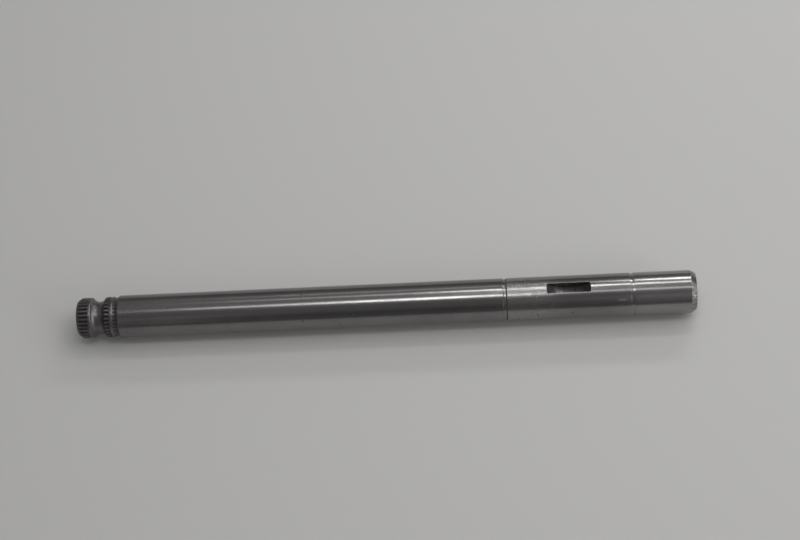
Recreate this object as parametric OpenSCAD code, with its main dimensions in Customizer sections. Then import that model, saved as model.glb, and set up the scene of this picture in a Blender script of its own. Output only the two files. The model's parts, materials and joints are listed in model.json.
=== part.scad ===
// Gear shift shaft: one turned and ground steel rod. A serrated end takes the pedal lever, the long plain
// stretch turns in its bushes, and a keyed seat between two ring grooves carries the shift arm.
// The axis runs along +X from the lever end's face at the origin, and the keyseat faces +Z.

/* [Shaft] */
// Length over both end faces
shaft_l = 174; // [150:1:220]
// Diameter of the ground journals and of the arm seat
shaft_d = 12; // [11.6:0.1:14]
// Length of the slim lead-in chamfer at the plain end
plain_end_lead = 1.5; // [0.5:0.1:2]

/* [Lever end] */
// Length of the serrated seat, from the end face to the foot of the shoulder
lever_seat_l = 11.1; // [10.8:0.1:16]
// Length of the sloped shoulder between the seat and the journal
shoulder_l = 0.9; // [0.5:0.1:1.5]
// Diameter over the tips of the serration
serration_d = 11.4; // [11.1:0.1:11.5]
// Number of teeth around the serration
serration_teeth = 30; // [24:1:36]
// Depth of the gaps between the teeth
serration_depth = 0.5; // [0.3:0.05:0.6]
// Included angle of each gap
serration_angle = 70; // [60:2:80]
// Angle between the axis and the floor of the gaps where they run out on the shoulder
run_out_angle = 45; // [44:1:60]
// Length of the teeth before the smooth land at the bolt groove
front_teeth_l = 3.4; // [2.5:0.1:3.9]
// Length of the slim lead-in chamfer at the lever end
lever_end_lead = 1.2; // [0.5:0.1:1.5]

/* [Clamp bolt groove] */
// Distance of the groove's middle from the lever end's face
bolt_groove_x = 6; // [5.6:0.05:6.4]
// Radius of the groove's round section
bolt_groove_r = 2.2; // [1.8:0.1:2.5]
// Depth of the groove below the tooth tips
bolt_groove_depth = 1.25; // [0.8:0.05:1.4]

/* [Collar] */
// Width of the smooth collar behind the teeth
collar_w = 0.85; // [0.5:0.05:1]
// Width of the narrow groove between the teeth and the collar
collar_gap = 0.3; // [0.2:0.05:0.4]
// Width of the relief between the collar and the foot of the shoulder
relief_w = 0.75; // [0.4:0.05:0.9]
// Diameter of the floor on both sides of the collar
relief_d = 10.7; // [10.5:0.1:10.9]

/* [Arm seat] */
// Length of the plain stretch between the outer ring groove and the plain end's face
end_journal_l = 17.1; // [10:0.1:25]
// Length of the arm seat between the two ring grooves
arm_seat_l = 34.3; // [25:0.1:45]
// Width of each ring groove
ring_groove_w = 1.1; // [0.9:0.05:1.5]
// Diameter of each ring groove's floor
ring_groove_d = 11.5; // [10.6:0.1:11.5]

/* [Keyseat] */
// Width of the half-moon keyseat
keyseat_w = 3; // [2:0.5:4]
// Diameter of the disc cutter that sinks it
keyseat_cutter_d = 16; // [13:0.5:19]
// Depth of its floor below the crown of the shaft
keyseat_depth = 2.9; // [2:0.1:3.4]

/* [Centre holes] */
// Diameter of the pilot hole in each end face
centre_pilot_d = 1.6; // [1:0.1:2]
// Depth of the pilot hole, from the end face to its full-width end
centre_pilot_l = 4; // [3:0.1:5]
// Diameter of the conical seat at the end face
centre_seat_d = 3.4; // [2.5:0.1:4]

/* [Hidden] */
$fn = 120;

// Cutters reach this far past the surfaces that they open
overcut = 1;
// Gap cutters stop this far above the tooth tips
tip_clearance = 0.2;
// Angle between the lead-in chamfers and the axis
lead_in_angle = 30;
// Included angle of the lathe centres' seats
centre_angle = 60;
// Included angle of the pilot holes' drill points
drill_angle = 120;

shaft_r = shaft_d / 2;
serration_r = serration_d / 2;
root_r = serration_r - serration_depth;
gap_h = serration_depth + tip_clearance;
gap_half_w = gap_h * tan(serration_angle / 2);
lever_end_r = serration_r - lever_end_lead * tan(lead_in_angle);
plain_end_r = shaft_r - plain_end_lead * tan(lead_in_angle);

relief_r = relief_d / 2;
collar_x = lever_seat_l - relief_w - collar_w;
relief_x = collar_x - collar_gap;
journal_x = lever_seat_l + shoulder_l;

outer_groove_x = shaft_l - end_journal_l - ring_groove_w;
inner_groove_x = outer_groove_x - arm_seat_l - ring_groove_w;
keyseat_x = outer_groove_x - arm_seat_l / 2;

centre_slope = tan(centre_angle / 2);
centre_cone_l = (centre_seat_d - centre_pilot_d) / 2 / centre_slope;
centre_tip_l = centre_pilot_d / 2 / tan(drill_angle / 2);

// Lays shapes drawn along Z, from the lever end's face, on the shaft's axis, with their X side at the crown
module on_axis() {
    mirror([1, 0, -1]) children();
}

// The bar after turning: serration blank with its lead-in, relief, sloped shoulder, ground length and end
module turned_blank() {
    rotate_extrude()
        polygon([
            [0, 0],
            [lever_end_r, 0],
            [serration_r, lever_end_lead],
            [serration_r, relief_x],
            [relief_r, relief_x],
            [relief_r, lever_seat_l],
            [shaft_r, journal_x],
            [shaft_r, shaft_l - plain_end_lead],
            [plain_end_r, shaft_l],
            [0, shaft_l]
        ]);
}

// Smooth collar that stands in the relief, as high as the teeth
module collar() {
    translate([0, 0, collar_x]) cylinder(h = collar_w, r = serration_r);
}

// Square groove for a retaining ring, with its near wall at x
module ring_groove(x) {
    rotate_extrude()
        translate([ring_groove_d / 2, x])
            square([(shaft_d - ring_groove_d) / 2 + overcut, ring_groove_w]);
}

// Round groove that lets the lever's clamp bolt pass and keeps the lever from sliding off
module bolt_groove() {
    translate([0, 0, bolt_groove_x])
        rotate_extrude()
            translate([serration_r - bolt_groove_depth + bolt_groove_r, 0])
                circle(bolt_groove_r);
}

// Lathe centre in an end face: a conical seat, a pilot hole and its drill point
module centre_hole() {
    rotate_extrude()
        polygon([
            [0, -overcut],
            [centre_seat_d / 2 + overcut * centre_slope, -overcut],
            [centre_pilot_d / 2, centre_cone_l],
            [centre_pilot_d / 2, centre_pilot_l],
            [0, centre_pilot_l + centre_tip_l]
        ]);
}

// One straight gap of the serration from start to end, drawn on the X side
module serration_gap(start, end) {
    translate([0, 0, start])
        linear_extrude(end - start)
            polygon([
                [root_r, 0],
                [root_r + gap_h, -gap_half_w],
                [root_r + gap_h, gap_half_w]
            ]);
}

// Space that the gaps may take: from the foot of the shoulder on, its inner wall climbs out through the slope
module run_out_space() {
    climb = tan(run_out_angle);
    inner_r = root_r - overcut;
    outer_r = root_r + gap_h + overcut;
    rotate_extrude()
        polygon([
            [inner_r, -2 * overcut],
            [outer_r, -2 * overcut],
            [outer_r, lever_seat_l + (outer_r - root_r) / climb],
            [inner_r, lever_seat_l - (root_r - inner_r) / climb]
        ]);
}

// All gaps of the serration, on both sides of the bolt groove
module serration_gaps() {
    intersection() {
        for (i = [0 : serration_teeth - 1])
            rotate([0, 0, i * 360 / serration_teeth]) {
                serration_gap(-overcut, front_teeth_l);
                serration_gap(bolt_groove_x, journal_x);
            }
        run_out_space();
    }
}

// Half-moon seat sunk into the crown of the arm seat by a disc cutter
module keyseat() {
    translate([keyseat_x, 0, shaft_r - keyseat_depth + keyseat_cutter_d / 2])
        rotate([90, 0, 0])
            cylinder(h = keyseat_w, d = keyseat_cutter_d, center = true);
}

module shift_shaft() {
    color([0.45, 0.45, 0.46])
        difference() {
            union() {
                difference() {
                    on_axis() turned_blank();
                    on_axis() serration_gaps();
                }
                on_axis() collar();
            }
            on_axis() bolt_groove();
            on_axis() ring_groove(inner_groove_x);
            on_axis() ring_groove(outer_groove_x);
            on_axis() centre_hole();
            on_axis() translate([0, 0, shaft_l]) mirror([0, 0, 1]) centre_hole();
            keyseat();
        }
}

shift_shaft();
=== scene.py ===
"""Looks of a gear shift shaft: a finely turned mesh in ground steel, on a pale floor under strip lights."""

import json
import math
from typing import NamedTuple

import bmesh
import bpy
from bpy.props import FloatProperty, FloatVectorProperty, IntProperty, PointerProperty
from mathutils import Matrix, Vector


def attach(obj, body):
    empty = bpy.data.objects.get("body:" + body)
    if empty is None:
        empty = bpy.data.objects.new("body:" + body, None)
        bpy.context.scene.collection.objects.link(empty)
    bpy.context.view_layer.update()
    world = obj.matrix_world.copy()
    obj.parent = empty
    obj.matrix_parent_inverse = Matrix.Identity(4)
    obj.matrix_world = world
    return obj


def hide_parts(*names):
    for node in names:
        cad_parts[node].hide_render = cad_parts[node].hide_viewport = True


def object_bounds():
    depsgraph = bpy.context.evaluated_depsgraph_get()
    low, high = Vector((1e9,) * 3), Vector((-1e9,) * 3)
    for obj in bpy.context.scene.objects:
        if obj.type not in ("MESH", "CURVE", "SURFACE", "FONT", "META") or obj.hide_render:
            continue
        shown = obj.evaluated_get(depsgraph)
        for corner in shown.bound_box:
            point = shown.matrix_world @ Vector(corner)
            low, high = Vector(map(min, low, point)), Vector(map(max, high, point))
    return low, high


bl_info = {
    "name": "Gear shift shaft",
    "version": (1, 0, 0),
    "blender": (4, 5, 0),
    "location": "3D View > Sidebar > Shift shaft",
    "description": "Builds a ground steel gear shift shaft and the small studio that it lies in",
    "category": "Add Mesh",
}

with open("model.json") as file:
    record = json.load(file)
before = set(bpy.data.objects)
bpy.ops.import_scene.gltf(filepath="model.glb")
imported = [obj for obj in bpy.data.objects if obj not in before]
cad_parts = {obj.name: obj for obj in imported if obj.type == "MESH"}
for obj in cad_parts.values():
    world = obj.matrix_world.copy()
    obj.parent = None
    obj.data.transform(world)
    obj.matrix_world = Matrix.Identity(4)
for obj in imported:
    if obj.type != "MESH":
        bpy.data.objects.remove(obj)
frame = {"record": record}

MM = 0.001
NODE = "shift_shaft"
BODY = "root"
CAD_LOW, CAD_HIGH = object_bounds()
MOUNTS = {mount["name"]: mount for mount in frame["record"]["mounts"]}
AXIS = Vector((1, 0, 0))
IMAGE_WIDTH = 800
FOCAL_PIXELS = 1700
SENSOR_WIDTH = 36.0
CLIP_START = 10 * MM
LEAD_IN_ANGLE = math.radians(30)
CENTRE_ANGLE = math.radians(60)
DRILL_ANGLE = math.radians(120)
SHARP_ANGLE = math.radians(40)
MERGE_DISTANCE = 0.001 * MM
BEVEL_SEGMENTS = 3
DISC_SEGMENTS = 160
RING_GROOVES = ("inner_ring_groove", "outer_ring_groove")


def mount_x(name):
    """Place of a mount along the shaft, in metres from the lever end's face."""
    return MOUNTS[name]["pos_m"][0]


def mount_radius(name):
    """Radius of a round mount, in metres."""
    return MOUNTS[name]["dims"]["r_mm"] * MM


def length_property(name, description, default):
    """A size in metres that the sidebar shows as a length."""
    return FloatProperty(name=name, description=description, default=default, unit="LENGTH", precision=5)


def share_property(name, description, default):
    """A number from 0 to 1."""
    return FloatProperty(name=name, description=description, default=default, min=0, max=1, subtype="FACTOR")


def colour_property(name, description, default):
    """A linear colour."""
    limits = {"min": 0, "max": 1}
    return FloatVectorProperty(name=name, description=description, default=default, subtype="COLOR", **limits)


def angle_property(name, description, degrees):
    """An angle that is given in degrees."""
    return FloatProperty(name=name, description=description, default=math.radians(degrees), subtype="ANGLE")


class ShaftSizes(bpy.types.PropertyGroup):
    """Sizes of the turned shaft."""

    length: length_property("Length", "Length over both end faces", CAD_HIGH.x)
    radius: length_property("Journal radius", "Radius of the ground journals", mount_radius("main_journal"))
    plain_lead: length_property("Plain end lead-in", "Length of the plain end's slim chamfer", 1.5 * MM)
    lever_lead: length_property("Lever end lead-in", "Length of the lever end's slim chamfer", 1.2 * MM)
    seat_length: length_property("Lever seat", "Length of the serrated seat", 11.1 * MM)
    shoulder_length: length_property("Shoulder", "Length of the sloped shoulder", 0.9 * MM)
    tip_radius: length_property("Tooth tip radius", "Radius over the tooth tips", 5.7 * MM)
    teeth: IntProperty(name="Teeth", description="Number of teeth around the serration", default=30, min=3)
    gap_depth: length_property("Gap depth", "Depth of the gaps between the teeth", 0.5 * MM)
    gap_angle: angle_property("Gap angle", "Included angle of each gap", 70)
    run_out_angle: angle_property("Run-out angle", "Slope of the gaps' floors on the shoulder", 45)
    front_teeth: length_property("Front teeth", "Length of the teeth before the smooth land", 3.4 * MM)
    bolt_groove_x: length_property("Bolt groove place", "Middle of the clamp bolt groove", 6.0 * MM)
    bolt_groove_radius: length_property("Bolt groove radius", "Radius of the groove's section", 2.2 * MM)
    bolt_groove_depth: length_property("Bolt groove depth", "Depth below the tooth tips", 1.25 * MM)
    bolt_groove_rim: length_property("Bolt groove rim", "Radius of the rounding at its rims", 0.4 * MM)
    collar_width: length_property("Collar width", "Width of the smooth collar", 0.85 * MM)
    collar_gap: length_property("Collar gap", "Width of the groove before the collar", 0.3 * MM)
    collar_crown: angle_property("Collar crown", "Slope of the collar's crowned rim at both sides", 25)
    relief_radius: length_property("Relief floor", "Radius of the floor beside the collar", 5.35 * MM)
    ring_groove_radius: length_property("Ring groove floor", "Radius of the ring grooves' floors", 5.75 * MM)
    ring_groove_width: length_property("Ring groove width", "Width of the two ring grooves", 1.1 * MM)
    keyseat_width: length_property("Keyseat width", "Width of the half-moon keyseat", 3.0 * MM)
    keyseat_cutter_radius: length_property("Keyseat cutter", "Radius of the disc that sinks it", 8.0 * MM)
    keyseat_depth: length_property("Keyseat depth", "Depth of its floor below the crown", 2.9 * MM)
    centre_seat_radius: length_property("Centre seat", "Radius of the lathe centre at the end face", 1.7 * MM)
    centre_pilot_radius: length_property("Centre pilot", "Radius of the lathe centre's pilot hole", 0.8 * MM)
    centre_pilot_length: length_property("Pilot length", "Depth of the pilot hole", 4.0 * MM)
    edge_break: length_property("Edge break", "Size of the small rounding on turned edges", 0.06 * MM)
    segments: IntProperty(name="Segments", description="Steps of the turned surface", default=240, min=24)


class SteelFinish(bpy.types.PropertyGroup):
    """Colours and polish of the steel."""

    steel: colour_property("Steel", "Colour of the ground steel", (0.252, 0.242, 0.24))
    stain: colour_property("Stain", "Colour of the darker patches", (0.2, 0.191, 0.19))
    # The rubbed colour lightens the worn arm seat, and the plain end partly as painted light
    rubbed_and_lit: colour_property("Rubbed", "Colour of the arm seat and of the plain end", (0.344, 0.33, 0.328))
    # The tarnish colour also darkens the keyseat, partly as painted shade for its recess
    tarnish_and_shade: colour_property("Tarnish", "Colour of the lever end and of the keyseat", (0.134, 0.125, 0.126))
    # The grime colour paints real dirt in the pits and patches, and also painted shade in the ring grooves,
    # the keyseat and the tooth gaps
    grime_and_shade: colour_property("Grime", "Colour of the dirt in gaps, grooves and pits", (0.028, 0.026, 0.024))
    journal_roughness: share_property("Journal roughness", "Roughness of the ground journals", 0.2)
    lever_roughness: share_property("Lever roughness", "Roughness beside the serration", 0.24)
    seat_roughness: share_property("Seat roughness", "Roughness of the worn part of the arm seat", 0.25)
    tarnish_roughness: share_property("Tarnish roughness", "Roughness of the teeth and the keyseat", 0.42)
    grime_and_shade_roughness: share_property("Grime roughness", "Roughness of the dirt", 0.65)


class StageLook(bpy.types.PropertyGroup):
    """Floor, light and camera."""

    floor_colour: colour_property("Floor", "Colour of the floor", (0.62, 0.614, 0.604))
    floor_roughness: share_property("Floor roughness", "Roughness of the floor", 0.7)
    floor_size: length_property("Floor size", "Side of the square floor", 4.0)
    light_distance: length_property("Light distance", "Distance of the strip lights", 0.6)
    view_azimuth: angle_property("Azimuth", "Direction of the camera round the shaft", 6.9)
    view_elevation: angle_property("Elevation", "Height of the camera over the floor", 62.9)
    view_roll: angle_property("Roll", "Turn of the camera about its line of sight", 8.75)
    view_distance: length_property("Distance", "Distance of the camera from its target", 484.1 * MM)
    view_target: FloatVectorProperty(
        name="Target",
        description="Point in the middle of the picture",
        default=(91.5 * MM, 10.8 * MM, 0),
        unit="LENGTH",
    )
    view_focus: FloatProperty(
        name="Focal length",
        description="In picture widths",
        default=FOCAL_PIXELS / IMAGE_WIDTH,
    )


class Field:
    """A shader socket that takes part in Python arithmetic."""

    def __init__(self, tree, socket=None):
        self.tree = tree
        self.socket = socket

    def node(self, kind, settings=None, sockets=None, output=0):
        """Adds a node, sets it up, fills or links its sockets, and returns one of its outputs."""
        made = self.tree.nodes.new(kind)
        for name, value in (settings or {}).items():
            if name == "stops":
                fill_ramp(made.color_ramp, value)
            else:
                setattr(made, name, value)
        for key, value in (sockets or {}).items():
            if isinstance(value, Field):
                self.tree.links.new(value.socket, made.inputs[key])
            else:
                made.inputs[key].default_value = value
        return Field(self.tree, made.outputs[output] if made.outputs else None)

    def math(self, operation, *values):
        """A Math node on these values."""
        return self.node("ShaderNodeMath", {"operation": operation}, dict(enumerate(values)))

    def __add__(self, other):
        return self.math("ADD", self, other)

    def __radd__(self, other):
        return self.math("ADD", other, self)

    def __sub__(self, other):
        return self.math("SUBTRACT", self, other)

    def __rsub__(self, other):
        return self.math("SUBTRACT", other, self)

    def __mul__(self, other):
        return self.math("MULTIPLY", self, other)

    def __pow__(self, other):
        return self.math("POWER", self, other)

    def rise(self, low, high, start=0.0, end=1.0):
        """Smooth climb from start to end as the value goes from low to high."""
        return self.node(
            "ShaderNodeMapRange",
            {"interpolation_type": "SMOOTHSTEP"},
            {"Value": self, "From Min": low, "From Max": high, "To Min": start, "To Max": end},
        )

    def noise(self, place, scale, detail):
        """Noise stretched by these scales, about 0.5 on average."""
        stretched = self.node("ShaderNodeMapping", sockets={"Vector": place, "Scale": scale})
        sockets = {"Vector": stretched, "Scale": 1.0, "Detail": detail, "Roughness": 0.6}
        return self.node("ShaderNodeTexNoise", sockets=sockets)

    def band(self, low, high, soft):
        """1 between low and high, with soft edges."""
        return self.rise(low - soft, low + soft) * self.rise(high - soft, high + soft, 1.0, 0.0)

    def blend(self, start, end):
        """Mix of two colours by this value."""
        return self.node(
            "ShaderNodeMix",
            {"data_type": "RGBA"},
            {"Factor": self, 6: start, 7: end},
            output=2,
        )


def fill_ramp(ramp, stops):
    """Gives a colour ramp these (place, grey level) stops."""
    while len(ramp.elements) < len(stops):
        ramp.elements.new(1.0)
    for element, (place, level) in zip(ramp.elements, stops):
        element.position = place
        element.color = (level, level, level, 1)


def opaque(colour):
    """Colour with full alpha."""
    return (*colour, 1)


def profile_corners(sizes):
    """Corners of half the shaft's section as (x, radius), from the lever end's centre to the plain end's."""
    cone_length = (sizes.centre_seat_radius - sizes.centre_pilot_radius) / math.tan(CENTRE_ANGLE / 2)
    drill_point = sizes.centre_pilot_radius / math.tan(DRILL_ANGLE / 2)
    centre = [
        (sizes.centre_pilot_length + drill_point, 0),
        (sizes.centre_pilot_length, sizes.centre_pilot_radius),
        (cone_length, sizes.centre_pilot_radius),
        (0, sizes.centre_seat_radius),
    ]
    collar_start, collar_end = collar_edges(sizes)
    left = centre + [
        (0, sizes.tip_radius - sizes.lever_lead * math.tan(LEAD_IN_ANGLE)),
        (sizes.lever_lead, sizes.tip_radius),
        *bolt_groove_arc(sizes),
        *step_corners(collar_start - sizes.collar_gap, sizes.tip_radius, sizes.relief_radius),
        (collar_start, sizes.relief_radius),
        *collar_arc(sizes),
        (collar_end, sizes.relief_radius),
        (sizes.seat_length, sizes.relief_radius),
        (sizes.seat_length + sizes.shoulder_length, sizes.radius),
    ]
    middle = []
    for name in RING_GROOVES:
        near, far = groove_edges(sizes, name)
        middle += step_corners(near, sizes.radius, sizes.ring_groove_radius)
        middle += step_corners(far, sizes.ring_groove_radius, sizes.radius)
    right = [
        (sizes.length - sizes.plain_lead, sizes.radius),
        (sizes.length, sizes.radius - sizes.plain_lead * math.tan(LEAD_IN_ANGLE)),
    ]
    return left + middle + right + [(sizes.length - x, radius) for x, radius in reversed(centre)]


def step_corners(x, start_radius, end_radius):
    """Two corners of a square step."""
    return [(x, start_radius), (x, end_radius)]


def collar_edges(sizes):
    """Both ends of the smooth collar along the shaft."""
    middle = mount_x("lever_collar")
    return middle - sizes.collar_width / 2, middle + sizes.collar_width / 2


def arc_points(middle, height, radius, start, end, steps):
    """Points on an arc as (x, radius), at even turns from its top: start and end are angles."""
    angles = [start + (end - start) * step / steps for step in range(steps + 1)]
    return [(middle + radius * math.sin(angle), height + radius * math.cos(angle)) for angle in angles]


def collar_arc(sizes, steps=8):
    """Points along the collar's crowned rim, from side to side."""
    radius = sizes.collar_width / 2 / math.sin(sizes.collar_crown)
    crown = sizes.collar_crown
    return arc_points(mount_x("lever_collar"), sizes.tip_radius - radius, radius, -crown, crown, steps)


def groove_edges(sizes, name):
    """Both walls of a ring groove along the shaft."""
    middle = mount_x(name)
    return middle - sizes.ring_groove_width / 2, middle + sizes.ring_groove_width / 2


def bolt_groove_arc(sizes, steps=18, rim_steps=6):
    """Points along the clamp bolt groove's round section and its rounded rims."""
    middle = sizes.bolt_groove_x
    radius = sizes.bolt_groove_radius
    rim = sizes.bolt_groove_rim
    rise = radius - sizes.bolt_groove_depth
    turn = math.acos((rise + rim) / (radius + rim))
    reach = (radius + rim) * math.sin(turn)
    rim_height = sizes.tip_radius - rim
    floor = arc_points(middle, sizes.tip_radius + rise, radius, math.pi + turn, math.pi - turn, steps)
    return [
        *arc_points(middle - reach, rim_height, rim, 0, turn, rim_steps),
        *floor[1:-1],
        *arc_points(middle + reach, rim_height, rim, -turn, 0, rim_steps),
    ]


def turned_blank(sizes):
    """The shaft before its teeth and keyseat are cut: its half section, spun about the axis."""
    mesh = bmesh.new()
    corners = [mesh.verts.new((x, 0, radius)) for x, radius in profile_corners(sizes)]
    for start, end in zip(corners, corners[1:]):
        mesh.edges.new((start, end))
    bmesh.ops.bevel(
        mesh,
        geom=corners[1:-1],
        offset=sizes.edge_break,
        offset_type="OFFSET",
        segments=BEVEL_SEGMENTS,
        profile=0.5,
        affect="VERTICES",
        clamp_overlap=True,
        material=-1,
    )
    bmesh.ops.spin(
        mesh,
        geom=mesh.verts[:] + mesh.edges[:],
        cent=(0, 0, 0),
        axis=AXIS,
        angle=math.tau,
        steps=sizes.segments,
        use_merge=True,
    )
    bmesh.ops.remove_doubles(mesh, verts=mesh.verts, dist=MERGE_DISTANCE)
    bmesh.ops.recalc_face_normals(mesh, faces=mesh.faces)
    return mesh


def gap_cutters(sizes):
    """Wedges for the tooth gaps: before the bolt groove, up to the collar, and onto the shoulder."""
    mesh = bmesh.new()
    overcut = 1.0 * MM
    wall_clearance = 0.1 * MM
    tip_clearance = 0.2 * MM
    root = sizes.tip_radius - sizes.gap_depth
    outer = sizes.tip_radius + tip_clearance
    half_width = (outer - root) * math.tan(sizes.gap_angle / 2)
    run_out = (outer - root) / math.tan(sizes.run_out_angle)
    collar_start, collar_end = collar_edges(sizes)
    for start, end, slope in (
        (-overcut, sizes.front_teeth, 0),
        (sizes.bolt_groove_x, collar_start - wall_clearance, 0),
        (collar_end + wall_clearance, sizes.seat_length, run_out),
    ):
        points = [(start, 0, root), (end, 0, root)]
        points += [(x, side * half_width, outer) for x in (start, end + slope) for side in (-1, 1)]
        bmesh.ops.convex_hull(mesh, input=[mesh.verts.new(point) for point in points])
    bmesh.ops.spin(
        mesh,
        geom=mesh.verts[:] + mesh.edges[:] + mesh.faces[:],
        cent=(0, 0, 0),
        axis=AXIS,
        angle=math.tau * (sizes.teeth - 1) / sizes.teeth,
        steps=sizes.teeth - 1,
        use_duplicate=True,
    )
    bmesh.ops.recalc_face_normals(mesh, faces=mesh.faces)
    return mesh


def keyseat_cutter(sizes):
    """Disc that sinks the half-moon keyseat into the crown of the arm seat."""
    mesh = bmesh.new()
    centre = Vector((mount_x("keyseat"), 0, sizes.radius - sizes.keyseat_depth + sizes.keyseat_cutter_radius))
    bmesh.ops.create_cone(
        mesh,
        cap_ends=True,
        segments=DISC_SEGMENTS,
        radius1=sizes.keyseat_cutter_radius,
        radius2=sizes.keyseat_cutter_radius,
        depth=sizes.keyseat_width,
        matrix=Matrix.Translation(centre) @ Matrix.Rotation(math.pi / 2, 4, "X"),
    )
    return mesh


def new_object(name, mesh):
    """Object at the origin that holds a finished bmesh."""
    data = bpy.data.meshes.new(name)
    mesh.to_mesh(data)
    mesh.free()
    made = bpy.data.objects.new(name, data)
    bpy.context.scene.collection.objects.link(made)
    return made


def cut_away(piece, cutters):
    """Cuts each cutter out of the piece, then removes the cutters."""
    for cutter in cutters:
        cut = piece.modifiers.new(cutter.name, "BOOLEAN")
        cut.operation = "DIFFERENCE"
        cut.solver = "EXACT"
        cut.object = cutter
    bpy.context.view_layer.update()
    graph = bpy.context.evaluated_depsgraph_get()
    machined = bpy.data.meshes.new_from_object(piece.evaluated_get(graph))
    blank = piece.data
    piece.modifiers.clear()
    piece.data = machined
    bpy.data.meshes.remove(blank)
    for cutter in cutters:
        data = cutter.data
        bpy.data.objects.remove(cutter)
        bpy.data.meshes.remove(data)


# How far each place is tarnished, rubbed bright, stained, dirty or darkened by painted shade, from 0 to 1;
# the plain end's rub is partly painted light
LEVER_TARNISH = 0.55
TOOTH_TARNISH = 0.25
CHAMFER_TARNISH = 0.75
FACE_TARNISH = (0.25, 0.6)
LEVER_HAZE = 0.25
TOOL_MARK_SHINE = 0.6
PLAIN_END_RUB_AND_LIGHT = 0.75
FRONT_SPOT_LIGHTENING = 0.8
CLOUD_STAIN = 0.7
GRIND_STAIN = 0.4
TOOTH_GAP_DIRT_AND_SHADE = (0.8, 0.4)
GROOVE_WALL_SHADE = 0.7
GROOVE_CORNER_SHADE = 0.8
KEYSEAT_CORNER_SHADE = 0.8
KEYSEAT_END_SHADE = 0.9
PATCH_DIRT = 0.35
PIT_DIRT = 0.8
DIRT_AND_SHADE_DULLING = 0.7

# What the marks add to the roughness
FRONT_SPOT_ROUGHNESS = 0.25
CLOUD_ROUGHNESS = 0.08
GRIND_ROUGHNESS = 0.1

# Heights of the marks, in parts of the bump's distance
BUMP_STRENGTH = 0.5
BUMP_DISTANCE = 0.006 * MM
GRIND_HEIGHT = 0.3
GRAIN_HEIGHT = 0.2
LEVER_GRAIN_HEIGHT = 0.6
KEYSEAT_GRAIN_HEIGHT = 2.0
FROST_HEIGHT = 9.0
FACE_RING_HEIGHT = 4.0
PIT_DEPTH = 4.0


class Marks(NamedTuple):
    """Noise patterns on the steel."""

    cloud: Field
    grind: Field
    grain: Field
    frost: Field
    pits: Field
    patches: Field
    tool: Field
    end_streaks: Field
    face_rings: Field


class Places(NamedTuple):
    """Masks of the places whose finish differs: 1 on each."""

    beside_lever: Field
    worn_seat: Field
    keyseat: Field
    teeth: Field
    lever_end: Field
    lever_face: Field
    end_chamfer: Field
    plain_face: Field
    near_plain_end: Field
    front_spot: Field


def steel_marks(field, place, radius):
    """Makes the noise patterns: their scales are in cells to the metre along and across the shaft."""
    from_axis = field.node("ShaderNodeCombineXYZ", sockets={0: radius})
    spots = field.node("ShaderNodeTexVoronoi", sockets={"Vector": place, "Scale": 250.0})
    return Marks(
        cloud=field.noise(place, (90, 260, 260), detail=4),
        grind=field.noise(place, (2600, 90, 90), detail=3),
        grain=field.noise(place, (2600, 2600, 2600), detail=2),
        frost=field.noise(place, (2200, 3000, 3000), detail=2),
        pits=spots.rise(0.05, 0.08, 1.0, 0.0),
        patches=field.noise(place, (420, 520, 520), detail=3).rise(0.45, 0.7),
        tool=field.noise(place, (2200, 160, 160), detail=2).rise(0.42, 0.6),
        end_streaks=field.noise(place, (120, 1500, 1500), detail=2).rise(0.42, 0.6),
        face_rings=field.noise(from_axis, (5000, 1, 1), detail=2),
    )


def steel_places(sizes, field, x, y, z, radius):
    """Finds the places whose finish differs."""
    journal_start = sizes.seat_length + sizes.shoulder_length
    chamfer_start = sizes.length - sizes.plain_lead
    inner_groove = mount_x("inner_ring_groove")
    outer_groove = mount_x("outer_ring_groove")
    keyseat = mount_x("keyseat")
    behind_inner_groove = x.rise(inner_groove - 0.5 * MM, inner_groove + 0.5 * MM)
    return Places(
        beside_lever=x.rise(journal_start + 2 * MM, journal_start + 15 * MM, 1.0, 0.0),
        worn_seat=behind_inner_groove * x.rise(keyseat - 8 * MM, keyseat, 1.0, 0.0),
        keyseat=keyseat_mask(sizes, x, radius),
        teeth=toothed_mask(sizes, x),
        lever_end=x.rise(journal_start - 0.1 * MM, journal_start, 1.0, 0.0),
        lever_face=x.rise(0.03 * MM, 0.06 * MM, 1.0, 0.0),
        end_chamfer=x.rise(chamfer_start - 0.1 * MM, chamfer_start),
        plain_face=x.rise(sizes.length - 0.06 * MM, sizes.length - 0.03 * MM),
        near_plain_end=x.rise(outer_groove - 8 * MM, outer_groove + 6 * MM),
        front_spot=front_spot_mask(field, x, y, z),
    )


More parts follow.
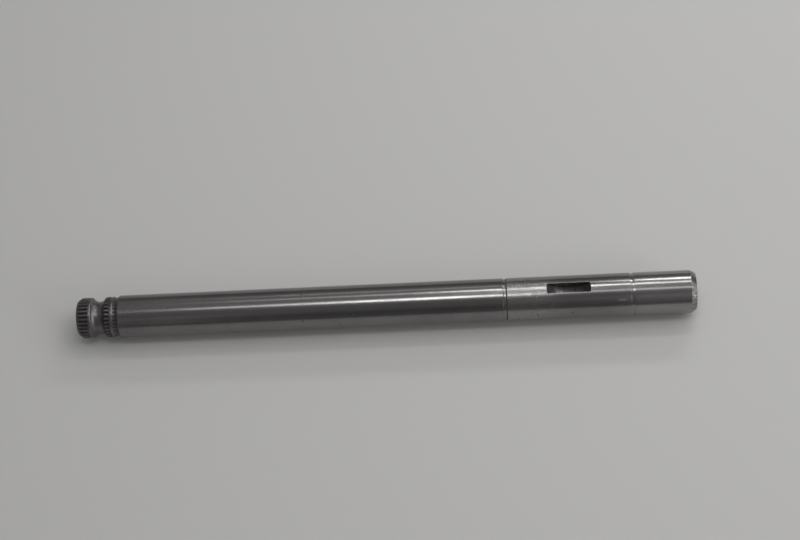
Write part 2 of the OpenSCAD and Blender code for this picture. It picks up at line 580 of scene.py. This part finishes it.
def ground_steel(sizes, finish):
    """Ground and handled steel: duller stretches, dirt and painted shade between the teeth, painted shade in
    the ring grooves and the keyseat, a plain end lightened partly by painted light, and a few pits.
    """
    material = bpy.data.materials.new("ground_steel")
    material.use_nodes = True
    tree = material.node_tree
    tree.nodes.clear()
    field = Field(tree)
    place = field.node("ShaderNodeTexCoord", output="Object")
    x, y, z = (field.node("ShaderNodeSeparateXYZ", sockets={0: place}, output=axis) for axis in "XYZ")
    radius = (y * y + z * z) ** 0.5
    marks = steel_marks(field, place, radius)
    on = steel_places(sizes, field, x, y, z, radius)

    # Tarnish: real on the lever end, the teeth, the chamfer and the end face; in the keyseat it is partly
    # painted shade
    tarnish_and_shade_amount = (
        on.lever_end * (LEVER_TARNISH + on.teeth * TOOTH_TARNISH)
        + on.keyseat * (1 - marks.tool * TOOL_MARK_SHINE)
        + on.end_chamfer * (1 - on.plain_face) * marks.end_streaks * CHAMFER_TARNISH
        + on.plain_face * marks.face_rings.rise(0.35, 0.65, *FACE_TARNISH)
    )
    # Lighter steel: wear on the arm seat, a small lighter spot in front, and the plain end lightened partly
    # as painted light
    rubbed_and_lit = (
        on.near_plain_end * PLAIN_END_RUB_AND_LIGHT
        + on.front_spot * FRONT_SPOT_LIGHTENING
        + on.worn_seat * marks.frost.rise(0.4, 0.6)
    )
    # Grime: real dirt in patches on the lever end and in the pits; painted shade in the ring grooves and the
    # keyseat; both in the tooth gaps
    dirt_and_shade = (
        on.teeth * tooth_gap_mask(sizes, field, y, z, radius)
        + groove_wall_mask(sizes, x, radius) * GROOVE_WALL_SHADE
        + groove_corner_mask(sizes, x, radius) * GROOVE_CORNER_SHADE
        + on.keyseat * keyseat_corner_mask(sizes, field, x, y, z)
        + on.lever_end * marks.patches * PATCH_DIRT
        + marks.pits * PIT_DIRT
    )
    dirt_and_shade = field.math("MINIMUM", dirt_and_shade, 1.0)

    roughness = (
        finish.journal_roughness
        + on.beside_lever * (finish.lever_roughness - finish.journal_roughness)
        + on.worn_seat * (finish.seat_roughness - finish.journal_roughness)
        + on.front_spot * FRONT_SPOT_ROUGHNESS
        + (marks.cloud - 0.5) * CLOUD_ROUGHNESS
        + (marks.grind - 0.5) * GRIND_ROUGHNESS
    )
    roughness = roughness + tarnish_and_shade_amount * (finish.tarnish_roughness - roughness)
    roughness = roughness + dirt_and_shade * (finish.grime_and_shade_roughness - roughness)

    stained = marks.cloud.rise(0.45, 0.75) * CLOUD_STAIN + marks.grind.rise(0.4, 0.8) * GRIND_STAIN
    stained = field.math("MINIMUM", stained, 1.0)
    mottled = tarnish_and_shade_amount * marks.grain.rise(0.3, 0.6, 0.75, 1.0)
    dulled = field.math("MAXIMUM", mottled, on.beside_lever * LEVER_HAZE)
    colour = stained.blend(opaque(finish.steel), opaque(finish.stain))
    colour = rubbed_and_lit.blend(colour, opaque(finish.rubbed_and_lit))
    colour = dulled.blend(colour, opaque(finish.tarnish_and_shade))
    # Blends towards the grime colour for dirt and painted shade alike
    colour = dirt_and_shade.blend(colour, opaque(finish.grime_and_shade))

    coarseness = GRAIN_HEIGHT + on.beside_lever * LEVER_GRAIN_HEIGHT + on.keyseat * KEYSEAT_GRAIN_HEIGHT
    height = (
        marks.grind * GRIND_HEIGHT
        + marks.grain * coarseness
        + marks.frost * on.worn_seat * FROST_HEIGHT
        + marks.face_rings * (on.lever_face + on.plain_face) * FACE_RING_HEIGHT
        - marks.pits * PIT_DEPTH
    )
    normal = field.node(
        "ShaderNodeBump",
        sockets={"Strength": BUMP_STRENGTH, "Distance": BUMP_DISTANCE, "Height": height},
    )
    shader = field.node(
        "ShaderNodeBsdfPrincipled",
        sockets={
            "Base Color": colour,
            "Metallic": 1 - dirt_and_shade * DIRT_AND_SHADE_DULLING,
            "Roughness": roughness,
            "Normal": normal,
        },
    )
    field.node("ShaderNodeOutputMaterial", sockets={"Surface": shader})
    return material


def toothed_mask(sizes, x):
    """1 on the three stretches of the lever end that carry teeth."""
    soft = 0.02 * MM
    collar_start, collar_end = collar_edges(sizes)
    front = x.rise(sizes.front_teeth - soft, sizes.front_teeth + soft, 1.0, 0.0)
    middle = x.band(sizes.bolt_groove_x + sizes.bolt_groove_depth, collar_start, soft)
    back = x.band(collar_end, sizes.seat_length + sizes.shoulder_length, soft)
    return front + middle + back


def tooth_gap_mask(sizes, field, y, z, radius):
    """Dirt and painted shade on the flanks between the teeth, darkest at their foot and fading towards the
    tips.
    """
    root = sizes.tip_radius - sizes.gap_depth
    pitch = math.tau / sizes.teeth
    turns = field.math("ARCTAN2", y, z) * (1 / pitch)
    arc = field.math("ABSOLUTE", turns - field.math("ROUND", turns)) * pitch * radius
    beyond_flank = arc - (radius - root) * math.tan(sizes.gap_angle / 2)
    on_flank = beyond_flank.rise(0.02 * MM, 0.05 * MM, 1.0, 0.0)
    return on_flank * radius.rise(root + 0.1 * MM, sizes.tip_radius, *TOOTH_GAP_DIRT_AND_SHADE)


def groove_wall_mask(sizes, x, radius):
    """1 on the low walls of the two ring grooves of the arm seat, which get painted shade."""
    soft = 0.01 * MM
    edge = 0.05 * MM
    inner, outer = (
        x.band(near - edge, far + edge, soft)
        for near, far in (groove_edges(sizes, name) for name in RING_GROOVES)
    )
    return (inner + outer) * radius.band(sizes.ring_groove_radius + 2 * soft, sizes.radius - edge, soft)


def groove_corner_mask(sizes, x, radius):
    """1 on the inner ring groove's floor, in the corner at its far wall, which gets painted shade."""
    far = groove_edges(sizes, "inner_ring_groove")[1]
    floor = sizes.ring_groove_radius
    on_floor = radius.rise(floor + 0.02 * MM, floor + 0.1 * MM, 1.0, 0.0)
    return on_floor * x.band(far - 0.3 * MM, far + 0.1 * MM, 0.05 * MM)


def front_spot_mask(field, x, y, z):
    """1 on a small lighter, rougher spot at the front of the arm seat, beside the outer ring groove."""
    turn = math.radians(50)
    along = x - (mount_x("outer_ring_groove") - 3 * MM)
    below = z * math.cos(turn) + y * math.sin(turn)
    in_front = y.rise(-2.5 * MM, -2.0 * MM, 1.0, 0.0)
    length = field.math("ABSOLUTE", along).rise(0.6 * MM, 1.8 * MM, 1.0, 0.0)
    height = field.math("ABSOLUTE", below).rise(0.1 * MM, 0.5 * MM, 1.0, 0.0)
    return in_front * length * height


def keyseat_mask(sizes, x, radius):
    """1 on the walls and floor of the keyseat."""
    chord = (sizes.keyseat_depth * (2 * sizes.keyseat_cutter_radius - sizes.keyseat_depth)) ** 0.5
    middle = mount_x("keyseat")
    below_rim = radius.rise(sizes.radius - 0.15 * MM, sizes.radius - 0.05 * MM, 1.0, 0.0)
    return x.band(middle - chord, middle + chord, 0.05 * MM) * below_rim


def keyseat_corner_mask(sizes, field, x, y, z):
    """Painted shade in the keyseat: along the corners between floor and walls, and towards both ends of the
    floor.
    """
    along = x - mount_x("keyseat")
    cutter = sizes.keyseat_cutter_radius
    sag = cutter - (cutter**2 - along * along) ** 0.5
    over_floor = z - (sizes.radius - sizes.keyseat_depth) - sag
    wall = sizes.keyseat_width / 2
    beside_wall = field.math("ABSOLUTE", y).rise(wall - 0.25 * MM, wall)
    corner = beside_wall * over_floor.rise(0.1 * MM, 0.5 * MM, 1.0, 0.0)
    ends = field.math("ABSOLUTE", along).rise(2.6 * MM, 4.6 * MM)
    return field.math("MAXIMUM", corner * KEYSEAT_CORNER_SHADE, ends * KEYSEAT_END_SHADE)


def pale_floor(look):
    """Matt pale floor."""
    material = bpy.data.materials.new("pale_floor")
    material.use_nodes = True
    shader = material.node_tree.nodes["Principled BSDF"]
    shader.inputs["Base Color"].default_value = opaque(look.floor_colour)
    shader.inputs["Roughness"].default_value = look.floor_roughness
    return material


class SHIFT_OT_make_shaft(bpy.types.Operator):
    """Turn the shaft, cut its teeth and keyseat, and give it its ground steel"""

    bl_idname = "shift_shaft.make_shaft"
    bl_label = "Make shaft"

    def execute(self, context):
        sizes = context.scene.shaft_sizes
        shaft = new_object("shaft", turned_blank(sizes))
        cutters = [
            new_object("tooth_gaps", gap_cutters(sizes)),
            new_object("keyseat_disc", keyseat_cutter(sizes)),
        ]
        cut_away(shaft, cutters)
        shaft.data.shade_smooth()
        shaft.data.set_sharp_from_angle(angle=SHARP_ANGLE)
        even_normals = shaft.modifiers.new("even_normals", "WEIGHTED_NORMAL")
        even_normals.keep_sharp = True
        shaft.data.materials.clear()
        shaft.data.materials.append(ground_steel(sizes, context.scene.steel_finish))
        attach(shaft, BODY)
        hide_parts(NODE)
        return {"FINISHED"}


class SHIFT_OT_make_stage(bpy.types.Operator):
    """Lay the floor, hang the strip lights and set the camera"""

    bl_idname = "shift_shaft.make_stage"
    bl_label = "Make stage"

    def execute(self, context):
        look = context.scene.stage_look
        lay_floor(look)
        light_room(context.scene)
        for strip in STRIPS:
            hang_strip(look, strip)
        for side_light in SIDE_LIGHTS:
            stand_side_light(side_light)
        set_camera(context.scene, look)
        context.scene.view_settings.view_transform = "Standard"
        return {"FINISHED"}


class Strip(NamedTuple):
    """A soft light along the shaft: its elevation over the front in degrees, its ends and width in metres."""

    name: str
    elevation: float
    start: float
    end: float
    width: float
    radiance: float


STRIPS = (
    Strip("top_left", elevation=88.2, start=-0.075, end=0.035, width=0.065, radiance=2.688),
    Strip("top_middle", elevation=88.2, start=0.035, end=0.124, width=0.085, radiance=8.5),
    Strip("top_right", elevation=88.2, start=0.124, end=0.5, width=0.085, radiance=1.188),
    Strip("seat_fill", elevation=106, start=0.13, end=0.16, width=0.16, radiance=3.0),
    Strip("back_left", elevation=120.3, start=-0.05, end=0.1, width=0.05, radiance=1.125),
    Strip("back_middle", elevation=120.3, start=0.1, end=0.2, width=0.055, radiance=9.375),
    Strip("back_right", elevation=120.3, start=0.2, end=0.5, width=0.055, radiance=3.0),
    Strip("far_left", elevation=143.5, start=-0.05, end=0.21, width=0.06, radiance=0.688),
    Strip("far_right", elevation=143.5, start=0.21, end=0.5, width=0.06, radiance=9.375),
    Strip("front_left", elevation=32, start=-0.5, end=-0.07, width=0.4, radiance=0.125),
    Strip("front_right", elevation=38, start=0.17, end=0.6, width=0.4, radiance=0.088),
)


class SideLight(NamedTuple):
    """A square soft light aimed at the middle of the shaft: its place and side in metres."""

    name: str
    place: tuple
    size: float
    radiance: float


SIDE_LIGHTS = (
    SideLight("right_light", place=(0.95, 0.2, 0.95), size=0.9, radiance=1.375),
    SideLight("front_light", place=(0.95, -0.5, 0.33), size=0.5, radiance=2.25),
    SideLight("end_light", place=(0.9, 0.05, 0.3), size=0.45, radiance=0.562),
)


def lay_floor(look):
    """Square floor under the shaft."""
    mesh = bmesh.new()
    place = Matrix.Translation((CAD_HIGH.x / 2, 0, CAD_LOW.z))
    bmesh.ops.create_grid(mesh, x_segments=1, y_segments=1, size=look.floor_size / 2, matrix=place)
    floor = new_object("floor", mesh)
    floor.data.materials.append(pale_floor(look))


# Grey of the room by its turn round the shaft: 0 is level in front, 0.5 overhead and 1 level behind
ROOM_STOPS = (
    (0.0, 0.15),
    (0.06, 0.125),
    (0.16, 0.094),
    (0.27, 0.188),
    (0.42, 0.2),
    (0.6, 0.288),
    (0.82, 0.275),
    (0.93, 0.15),
)


def light_room(scene):
    """Dim grey room: darkest in front, lighter overhead."""
    scene.world = bpy.data.worlds.new("room")
    scene.world.use_nodes = True
    tree = scene.world.node_tree
    tree.nodes.clear()
    field = Field(tree)
    ray = field.node("ShaderNodeTexCoord", output="Generated")
    front = field.node("ShaderNodeSeparateXYZ", sockets={0: ray}, output="Y") * -1
    up = field.node("ShaderNodeSeparateXYZ", sockets={0: ray}, output="Z")
    turn = field.math("ARCTAN2", up, front) * (1 / math.pi)
    grey = field.node("ShaderNodeValToRGB", {"stops": ROOM_STOPS}, {0: turn})
    background = field.node("ShaderNodeBackground", sockets={"Color": grey, "Strength": 1.0})
    field.node("ShaderNodeOutputWorld", sockets={"Surface": background})


def hang_strip(look, strip):
    """Hangs a strip light over the shaft."""
    turn = math.radians(strip.elevation)
    away = Vector((0, -math.cos(turn), math.sin(turn)))
    lamp = area_light(strip.name, strip.end - strip.start, strip.width, strip.radiance)
    lamp.matrix_world = axes_matrix(AXIS, away.cross(AXIS), away, away * look.light_distance)
    lamp.location.x = (strip.start + strip.end) / 2


def stand_side_light(side_light):
    """Stands a square light beside the shaft, aimed at its middle."""
    place = Vector(side_light.place)
    back = (place - Vector((CAD_HIGH.x / 2, 0, 0))).normalized()
    right = Vector((0, 0, 1)).cross(back).normalized()
    lamp = area_light(side_light.name, side_light.size, side_light.size, side_light.radiance)
    lamp.matrix_world = axes_matrix(right, back.cross(right), back, place)


def area_light(name, length, width, radiance):
    """Rectangular light of this radiance."""
    lamp = bpy.data.lights.new(name, "AREA")
    lamp.shape = "RECTANGLE"
    lamp.size = length
    lamp.size_y = width
    lamp.energy = radiance * math.pi * length * width
    made = bpy.data.objects.new(name, lamp)
    bpy.context.scene.collection.objects.link(made)
    return made


def axes_matrix(right, up, back, place):
    """Matrix of an object with these axes at this place."""
    return Matrix.Translation(place) @ Matrix((right, up, back)).transposed().to_4x4()


def set_camera(scene, look):
    """Camera above the front of the shaft, a little turned and rolled."""
    lens = bpy.data.cameras.new("view")
    lens.sensor_width = SENSOR_WIDTH
    lens.lens = SENSOR_WIDTH * look.view_focus
    lens.clip_start = CLIP_START
    level = math.cos(look.view_elevation)
    back = Vector(
        (
            math.sin(look.view_azimuth) * level,
            -math.cos(look.view_azimuth) * level,
            math.sin(look.view_elevation),
        )
    )
    right = Vector((math.cos(look.view_azimuth), math.sin(look.view_azimuth), 0))
    up = back.cross(right)
    turn = Matrix.Rotation(-look.view_roll, 3, back)
    place = Vector(look.view_target) + back * look.view_distance
    camera = bpy.data.objects.new("view", lens)
    camera.matrix_world = axes_matrix(turn @ right, turn @ up, back, place)
    scene.collection.objects.link(camera)
    scene.camera = camera


class SHIFT_PT_sidebar(bpy.types.Panel):
    """Sizes, finish and stage of the shaft"""

    bl_idname = "SHIFT_PT_sidebar"
    bl_label = "Shift shaft"
    bl_space_type = "VIEW_3D"
    bl_region_type = "UI"
    bl_category = "Shift shaft"

    def draw(self, context):
        for group, operator in (
            ("shaft_sizes", SHIFT_OT_make_shaft),
            ("steel_finish", None),
            ("stage_look", SHIFT_OT_make_stage),
        ):
            settings = getattr(context.scene, group)
            for name in settings.bl_rna.properties.keys():
                if name not in ("rna_type", "name"):
                    self.layout.prop(settings, name)
            if operator:
                self.layout.operator(operator.bl_idname)


CLASSES = (ShaftSizes, SteelFinish, StageLook, SHIFT_OT_make_shaft, SHIFT_OT_make_stage, SHIFT_PT_sidebar)


def register():
    for made in CLASSES:
        bpy.utils.register_class(made)
    bpy.types.Scene.shaft_sizes = PointerProperty(type=ShaftSizes)
    bpy.types.Scene.steel_finish = PointerProperty(type=SteelFinish)
    bpy.types.Scene.stage_look = PointerProperty(type=StageLook)


def unregister():
    del bpy.types.Scene.stage_look
    del bpy.types.Scene.steel_finish
    del bpy.types.Scene.shaft_sizes
    for made in reversed(CLASSES):
        bpy.utils.unregister_class(made)


def main():
    register()
    bpy.ops.shift_shaft.make_shaft()
    bpy.ops.shift_shaft.make_stage()


if __name__ == "__main__":
    main()
